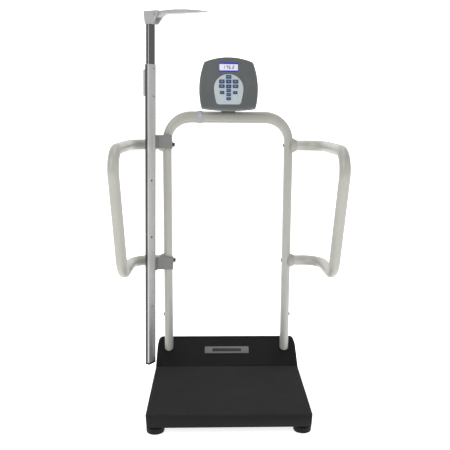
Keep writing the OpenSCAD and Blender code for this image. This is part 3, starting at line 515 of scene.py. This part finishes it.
DISPLAY_TILT, DISPLAY_FORWARD, DISPLAY_RISE = 15, 0.040, 0.0935
disp_origin = V((0, up_y - DISPLAY_FORWARD, hoop_hi.z + DISPLAY_RISE))
tilt = math.radians(90 - DISPLAY_TILT)
disp_v = V((0, math.cos(tilt), math.sin(tilt)))
disp_w = V((0, -math.sin(tilt), math.cos(tilt)))
DISPLAY_W, DISPLAY_H, FACE_W, BACK_W = 0.207, 0.190, 0.020, 0.035


def on_face(x, v, w):
    """x across the display, v up its face, w out of it."""
    return disp_origin + V((x, 0, 0)) + disp_v * v + disp_w * w


# radii of the housing's bowed sides, top and bottom, and the circle at its corners
SIDE_BOW, TOP_BOW, LOW_BOW = 0.280, 0.214, 0.592
SIDE_MIDDLE, CORNER_MIDDLE, CORNER_SHARE = -0.020, -0.006, 0.895
SOFTNESS = 110    # lower is rounder where two circles meet


def housing_outline(n=192):
    """The bowed outline: the nearest of five circles in each direction, softened."""
    half_w, half_h = DISPLAY_W / 2, DISPLAY_H / 2
    circles = [(half_w - SIDE_BOW, SIDE_MIDDLE, SIDE_BOW),
               (SIDE_BOW - half_w, SIDE_MIDDLE, SIDE_BOW),
               (0, half_h - TOP_BOW, TOP_BOW), (0, LOW_BOW - half_h, LOW_BOW),
               (0, CORNER_MIDDLE, math.hypot(half_w, half_h) * CORNER_SHARE)]
    pts = []
    for k in range(n):
        a = math.tau * k / n
        dx, dy = math.cos(a), math.sin(a)
        reach = []
        for cx, cy, r in circles:
            b = dx * cx + dy * cy
            reach.append(b + math.sqrt(b * b - cx * cx - cy * cy + r * r))
        soft = sum(q ** -SOFTNESS for q in reach) ** (-1 / SOFTNESS)
        pts.append((dx * soft, dy * soft))
    return pts


outline = housing_outline()


def housing_ring(inset, w, scale=1.0, chin=0.0):
    """One ring of the housing; chin is the extra inset at the bottom edge."""
    ring = []
    for x, v in outline:
        reach = math.hypot(x, v)
        k = scale * (1 - (inset + chin * max(0, -v / reach) ** 3) / reach)
        ring.append(on_face(x * k, v * k, w))
    return ring


FILLET, CHIN = 0.006, 0.005
GROOVE, LIP = 0.0008, 0.0016    # the groove between the shells, and its half height
quarter = [math.pi / 2 * k / 8 for k in range(9)]
front_rings = [housing_ring(GROOVE, 0.0002), housing_ring(GROOVE, 0.001),
               housing_ring(0, LIP)]
front_rings += [housing_ring(FILLET * (1 - math.cos(a)), FACE_W - FILLET * (1 - math.sin(a)),
                             1.0, CHIN * (1 - math.cos(a)))
                for a in quarter]
front = new_object("front_shell_soft", rings_mesh("front_shell", front_rings), "shell",
                   "display_head", ["front_shell"])

SHRINK = 0.72
BACK_FILLET = 0.007
back_rings = [housing_ring(GROOVE, -0.0002), housing_ring(GROOVE, -0.001),
              housing_ring(0, -LIP)]
slope_end = BACK_W - BACK_FILLET
for i in range(1, 7):
    w = LIP + (slope_end - LIP) * i / 6
    back_rings.append(housing_ring(0, -w, 1 - (1 - SHRINK) * w / BACK_W))
end_scale = 1 - (1 - SHRINK) * slope_end / BACK_W
for a in quarter[1:]:
    back_rings.append(housing_ring(BACK_FILLET * (1 - math.cos(a)),
                                   -slope_end - BACK_FILLET * math.sin(a),
                                   end_scale - 0.02 * math.sin(a)))
new_object("back_shell_soft", rings_mesh("back_shell", back_rings), "shell",
           "display_head", ["back_shell"])

# keypad panel: an arch with bowed sides, on the face, with a hole for each key
panel_lo, panel_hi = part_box("keypad_panel")
panel_half = (panel_hi.x - panel_lo.x) / 2
PANEL_MIDDLE, PANEL_LOW, PANEL_T = -0.019, -0.076, 0.0010
KEYS = [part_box(f"key_{i}") for i in range(1, 13)]
KEY_TRAVEL_GAP = 0.0004
KEY_DEEP, KEY_PROUD = 0.006, 0.0023    # a key below and above the face


def key_plan(i):
    """Centre, width and height of a key on the face, from its CAD box."""
    lo, hi = KEYS[i]
    mid = (lo + hi) / 2 - disp_origin
    v_span = ((hi.z - lo.z) - (KEY_DEEP + KEY_PROUD) * disp_w.z) / disp_v.z
    return mid.x, mid.dot(disp_v), hi.x - lo.x, v_span


def panel_outline(n=32, corner=0.012, draw_in=0.007):
    """A round arch whose sides draw in towards the bottom, with round corners."""
    pts = [(panel_half * math.cos(a), PANEL_MIDDLE + panel_half * math.sin(a))
           for a in (math.pi * k / n for k in range(n + 1))]
    side_low = PANEL_LOW + corner
    side = [(panel_half - draw_in * t ** 1.6, PANEL_MIDDLE + (side_low - PANEL_MIDDLE) * t)
            for t in (k / 12 for k in range(1, 13))]
    pts += [(-x, v) for x, v in side]
    inner = panel_half - draw_in - corner
    for sign, start in ((-1, 180), (1, 270)):
        pts += [(sign * inner + corner * math.cos(a), side_low + corner * math.sin(a))
                for a in (math.radians(start + 90 * k / 8) for k in range(1, 9))]
    return pts + side[-2::-1]


def hole_cutter(margin, low, high):
    """All the key holes as one mesh of rounded blocks."""
    points, faces = [], []
    for i in range(12):
        x, v, w, h = key_plan(i)
        ring = round_outline(w + 2 * margin, h + 2 * margin, 0.002 + margin, 4)
        base, n = len(points), len(ring)
        points += [on_face(x + px, v + pv, low) for px, pv in ring]
        points += [on_face(x + px, v + pv, high) for px, pv in ring]
        faces += [[base + f for f in face] for face in ring_faces(2, n)]
    return mesh_from("holes", points, faces)


panel = new_object("panel_film", soft_plate("panel", panel_outline(), FACE_W - 0.0002,
                                            FACE_W + PANEL_T, on_face, 0.0004), "panel",
                   "display_head", ["keypad_panel"])
carve(panel, hole_cutter(KEY_TRAVEL_GAP, FACE_W - 0.01, FACE_W + 0.01))
carve(front, hole_cutter(0.0008, FACE_W - 0.010, FACE_W + 0.005))
LCD_V = 0.0572


def lcd_plan(w, h, r):
    """A rectangle with round corners round the window's middle."""
    return [(x, LCD_V + y) for x, y in round_outline(w, h, r)]


window_cut = soft_plate("cut", lcd_plan(0.0668, 0.0340, 0.002), FACE_W - 0.0034,
                        FACE_W + 0.01, on_face, 0)
carve(front, window_cut)

# the lighter zone of the film round the middle keys
zone = [(x, -0.0185 + y) for x, y in round_outline(0.026, 0.088, 0.010)]
zone_film = new_object("panel_zone", soft_plate("zone", zone, FACE_W + PANEL_T - 0.0001,
                                                FACE_W + PANEL_T + 0.00025, on_face, 0.0001),
                       "panel_blue", "display_head")
carve(zone_film, hole_cutter(KEY_TRAVEL_GAP, FACE_W - 0.01, FACE_W + 0.01))

# display window: dark blue border, pale face and seven-segment digits
LCD_LOW, LCD_FACE = FACE_W - 0.0012, FACE_W - 0.0008
new_object("lcd_border", soft_plate("border", lcd_plan(0.0665, 0.0337, 0.002),
                                    FACE_W - 0.0032, FACE_W - 0.0010, on_face, 0.0003),
           "lcd_border", "display_head", ["lcd_window"])
new_object("lcd_face", soft_plate("face", lcd_plan(0.0650, 0.0225, 0.001), LCD_LOW,
                                  LCD_FACE, on_face, 0.0001),
           "lcd", "display_head")

SEGMENTS = {"1": "bc", "2": "abdeg", "5": "acdfg", "7": "abc"}
DIGIT_W, DIGIT_H, STROKE, DIGIT_T, SLANT = 0.0066, 0.0118, 0.0022, 0.0002, 0.12


def digit_blocks(char, x):
    """Blocks of one seven-segment digit, its left edge at x."""
    w, h, s = DIGIT_W, DIGIT_H, STROKE
    spans = {"a": (s / 2, w - s / 2, h / 2 - s, h / 2), "d": (s / 2, w - s / 2, -h / 2, s - h / 2),
             "g": (s / 2, w - s / 2, -s / 2, s / 2), "f": (0, s, s / 3, h / 2 - s / 2),
             "b": (w - s, w, s / 3, h / 2 - s / 2), "e": (0, s, s / 2 - h / 2, -s / 3),
             "c": (w - s, w, s / 2 - h / 2, -s / 3)}
    return [(x + spans[k][0], x + spans[k][1], spans[k][2], spans[k][3], 0, DIGIT_T)
            for k in SEGMENTS[char]]


def on_lcd(x, y, z):
    """Slanted digits: x across the window, y up it, z out of its face."""
    return on_face(x + SLANT * y, LCD_V + y, LCD_FACE + z)


blocks = []
for char, x in (("1", -0.0205), ("7", -0.0098), ("5", -0.0008), ("2", 0.0128)):
    blocks += digit_blocks(char, x)
blocks.append((0.0080, 0.0102, -DIGIT_H / 2, 0.002 - DIGIT_H / 2, 0, DIGIT_T))
new_object("lcd_digits", boxes_mesh("digits", blocks, on_lcd), "lcd_ink", "display_head")

# keys: rounded caps, and a plain mark on each
KEY_LOW, KEY_HIGH = FACE_W - KEY_DEEP, FACE_W + KEY_PROUD
MARKS = {"bar": [(-0.22, 0.22, -0.06, 0.06)],
         "plus": [(-0.16, 0.16, -0.05, 0.05), (-0.04, 0.04, -0.24, 0.24)],
         "two": [(-0.24, 0.24, 0.06, 0.16), (-0.18, 0.18, -0.16, -0.06)],
         "dot": [(-0.09, 0.09, -0.14, 0.14)]}
KEY_MARKS = ["two", "two", "plus", "two", "two", "bar", "two", "bar", "dot", "dot", "bar",
             "plus"]
for i in range(12):
    kx, kv, kw, kh = key_plan(i)
    plan = [(kx + x, kv + y) for x, y in round_outline(kw, kh, 0.002, 5)]
    cap = soft_plate("cap", plan, KEY_LOW, KEY_HIGH, on_face, 0.0010, 5)
    new_object(f"key_cap_{i + 1}", cap, "key", f"button_{i + 1}",
               [f"key_{i + 1}"])
    marks = [(kx + a * kw, kx + b * kw, kv + c * kh, kv + d * kh, KEY_HIGH - 0.0002,
              KEY_HIGH + 0.0001) for a, b, c, d in MARKS[KEY_MARKS[i]]]
    new_object(f"key_mark_{i + 1}", boxes_mesh("mark", marks, on_face), "legend",
               f"button_{i + 1}")


# ---------------------------------------------------------------- height rod

rod_lo, rod_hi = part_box("outer_rod")
rod_c = (rod_lo + rod_hi) / 2
ROD_T, ROD_W, ROD_L = 0.019, 0.038, 1.094
ROD_LEAN, ROD_TURN = 0.8, -34
lean = Matrix.Rotation(math.radians(ROD_LEAN), 3, "Y")
turn = Matrix.Rotation(math.radians(ROD_TURN), 3, "Z")
rod_x, rod_y, rod_z = (lean @ turn @ V(axis) for axis in ((1, 0, 0), (0, 1, 0), (0, 0, 1)))
rod_middle = rod_c.z / rod_z.z
rod_low, rod_top = rod_middle - ROD_L / 2, rod_middle + ROD_L / 2


def on_rod(x, y, z):
    """x and y across the rod, z along it from the floor."""
    return rod_c + rod_x * x + rod_y * y + rod_z * (z - rod_middle)


# painted shade and painted highlight on the rod's narrow front face: a dark strip stands in for
# the dark reflection there, and a bright strip for the highlight along its rounded corner
END_GAP = 0.002    # a strip stops short of the rod's ends
strip_span = (-ROD_W / 2 - 0.0003, -ROD_W / 2 + 0.0002, rod_low + END_GAP, rod_top - END_GAP)
new_object("rod_dark_and_painted_shade", boxes_mesh("painted_shade_strip", [(-ROD_T / 2 + 0.0012, 0.0022, *strip_span)],
                                   on_rod), "dark_alu_and_painted_shade", "frame")
# painted highlight along the rounded corner of the narrow face
new_object("rod_corner_highlight", boxes_mesh("corner", [(0.0024, ROD_T / 2 - 0.0008, *strip_span)],
                                    on_rod), "painted_highlight", "frame")

# thin bright line along the inner rod's edge: a painted highlight
inner_lo, inner_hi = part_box("inner_rod")
INNER_T, INNER_W, INNER_L = 0.014, 0.033, 1.000
inner_middle = (inner_lo.z + inner_hi.z) / 2 / rod_z.z
new_object("inner_rod_highlight", boxes_mesh("line", [
    (INNER_T / 2 - 0.0036, INNER_T / 2 - 0.0012, -INNER_W / 2 - 0.0002, 0.0002 - INNER_W / 2,
     inner_middle - INNER_L / 2 + END_GAP, inner_middle + INNER_L / 2 - END_GAP)], on_rod),
    "painted_highlight", "measuring_rod")

# tape with graduations
tape_lo, tape_hi = rod_low + 0.020, rod_top - 0.125
TAPE_Y0, TAPE_Y1, TAPE_T = 0.003, 0.015, 0.0004
new_object("tape_film", boxes_mesh("tape", [
    (ROD_T / 2 - 0.0002, ROD_T / 2 + TAPE_T, TAPE_Y0, TAPE_Y1, tape_lo, tape_hi)], on_rod),
    "tape", "frame", ["scale_tape"])
TICK_PITCH, TICK_EDGE = 0.005, TAPE_Y1 - 0.0005
ticks = []
for i in range(1, int((tape_hi - tape_lo) / TICK_PITCH)):
    length = 0.010 if i % 10 == 0 else 0.0065 if i % 2 == 0 else 0.0045
    thick = 0.0010 if i % 2 == 0 else 0.0006
    z = tape_lo + i * TICK_PITCH
    ticks.append((ROD_T / 2 + TAPE_T - 0.0001, ROD_T / 2 + TAPE_T + 0.0001,
                  TICK_EDGE - length, TICK_EDGE, z - thick / 2, z + thick / 2))
new_object("tape_ticks", boxes_mesh("ticks", ticks, on_rod), "print", "frame")


# ---------------------------------------------------------------- strap and cable

strap_lo, strap_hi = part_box("cable_strap")
strap_c = (strap_lo + strap_hi) / 2
strap_w, strap_d, strap_h = strap_hi - strap_lo
STRAP_T = 0.0012
strap_outer = round_outline(strap_d, strap_h, 0.008, 10)
strap_inner = round_outline(strap_d - 2 * STRAP_T, strap_h - 2 * STRAP_T, 0.007, 10)
strap_rings = [[V((strap_c.x + x * strap_w, strap_c.y + u, strap_c.z + v)) for u, v in plan]
               for x, plan in ((-0.5, strap_inner), (-0.46, strap_outer),
                               (0.46, strap_outer), (0.5, strap_inner))]
new_object("strap_band", rings_mesh("strap", strap_rings, True), "strap", "frame",
           ["cable_strap"])
new_object("strap_buckle", soft_plate("buckle", round_outline(0.013, 0.012, 0.002),
                                      0, 0.0022, lambda x, y, z: V((
                                          strap_c.x + x, strap_lo.y + 0.0008 - z,
                                          strap_c.z - 0.008 + y)), 0.0008), "strap", "frame")
dress("signal_cable", "cable", 0)


# ---------------------------------------------------------------- stage and light

def backdrop():
    """A floor that curves up into a wall."""
    FRONT, BACK, BEND, TOP, HALF = -7.0, 5.0, 2.0, 7.0, 12.0
    profile = [(FRONT, 0), (0, 0), (BACK - BEND, 0)]
    profile += [(BACK - BEND + BEND * math.sin(a), BEND * (1 - math.cos(a)))
                for a in (math.pi / 2 * k / 24 for k in range(1, 25))]
    profile.append((BACK, TOP))
    points = [V((x, y, z - 0.0002)) for x in (-HALF, HALF) for y, z in profile]
    n = len(profile)
    faces = [[k, k + 1, n + k + 1, n + k] for k in range(n - 1)]
    mesh = mesh_from("backdrop", points, faces)
    obj = bpy.data.objects.new("backdrop", mesh)
    bpy.context.scene.collection.objects.link(obj)
    floor = finish_material("studio_floor", (0.9, 0.9, 0.9), 0.01, 2, (0.6, 0.7), 0, 200,
                            0.0002, 0.05, specular=0.2)
    glow = floor.node_tree.nodes["Principled BSDF"].inputs
    glow["Emission Color"].default_value = (1, 1, 1, 1)
    glow["Emission Strength"].default_value = 0.8
    mesh.materials.append(floor)


backdrop()


def area_light(name, place, target, size, power):
    """A square white lamp aimed at a target."""
    data = bpy.data.lights.new(name, "AREA")
    data.shape, data.size, data.energy = "SQUARE", size, power
    lamp = bpy.data.objects.new(name, data)
    bpy.context.scene.collection.objects.link(lamp)
    lamp.location = place
    lamp.rotation_euler = (V(target) - V(place)).to_track_quat("-Z", "Y").to_euler()


area_light("key", (-2.6, -3.0, 3.4), (0, 0, 0.6), 2.4, 72)
area_light("fill", (3.2, -2.4, 2.2), (0, 0, 0.6), 2.6, 32)
area_light("top", (0, 0.6, 4.2), (0, 0.2, 0), 3.0, 44)

SKY_STRENGTH = 0.36
world = bpy.data.worlds.new("studio")
world.use_nodes = True
sky = world.node_tree.nodes["Background"].inputs
sky["Color"].default_value = (1, 1, 1, 1)
sky["Strength"].default_value = SKY_STRENGTH
bpy.context.scene.world = world
bpy.context.scene.view_settings.view_transform = "Standard"


# ---------------------------------------------------------------- camera

cam_data = bpy.data.cameras.new("camera")
cam = bpy.data.objects.new("camera", cam_data)
bpy.context.scene.collection.objects.link(cam)
bpy.context.scene.camera = cam
CAM_X, CAM_BACK, CAM_Z, LENS, SHIFT_X = -0.0514, 2.4582, 1.0389, 53.56, -0.0333
PITCH, YAW, ROLL = math.radians(-10.36), math.radians(2.29), math.radians(0.56)
forward = V((math.sin(YAW) * math.cos(PITCH), math.cos(YAW) * math.cos(PITCH), math.sin(PITCH)))
level = V((math.cos(YAW), -math.sin(YAW), 0))
upright = level.cross(forward)
right = level * math.cos(ROLL) + upright * math.sin(ROLL)
up = upright * math.cos(ROLL) - level * math.sin(ROLL)
turned = Matrix((right, up, -forward)).transposed().to_4x4()
cam.matrix_world = Matrix.Translation(V((CAM_X, up_y - CAM_BACK, CAM_Z))) @ turned
cam_data.sensor_width = 36
cam_data.lens = LENS
cam_data.shift_x = SHIFT_X
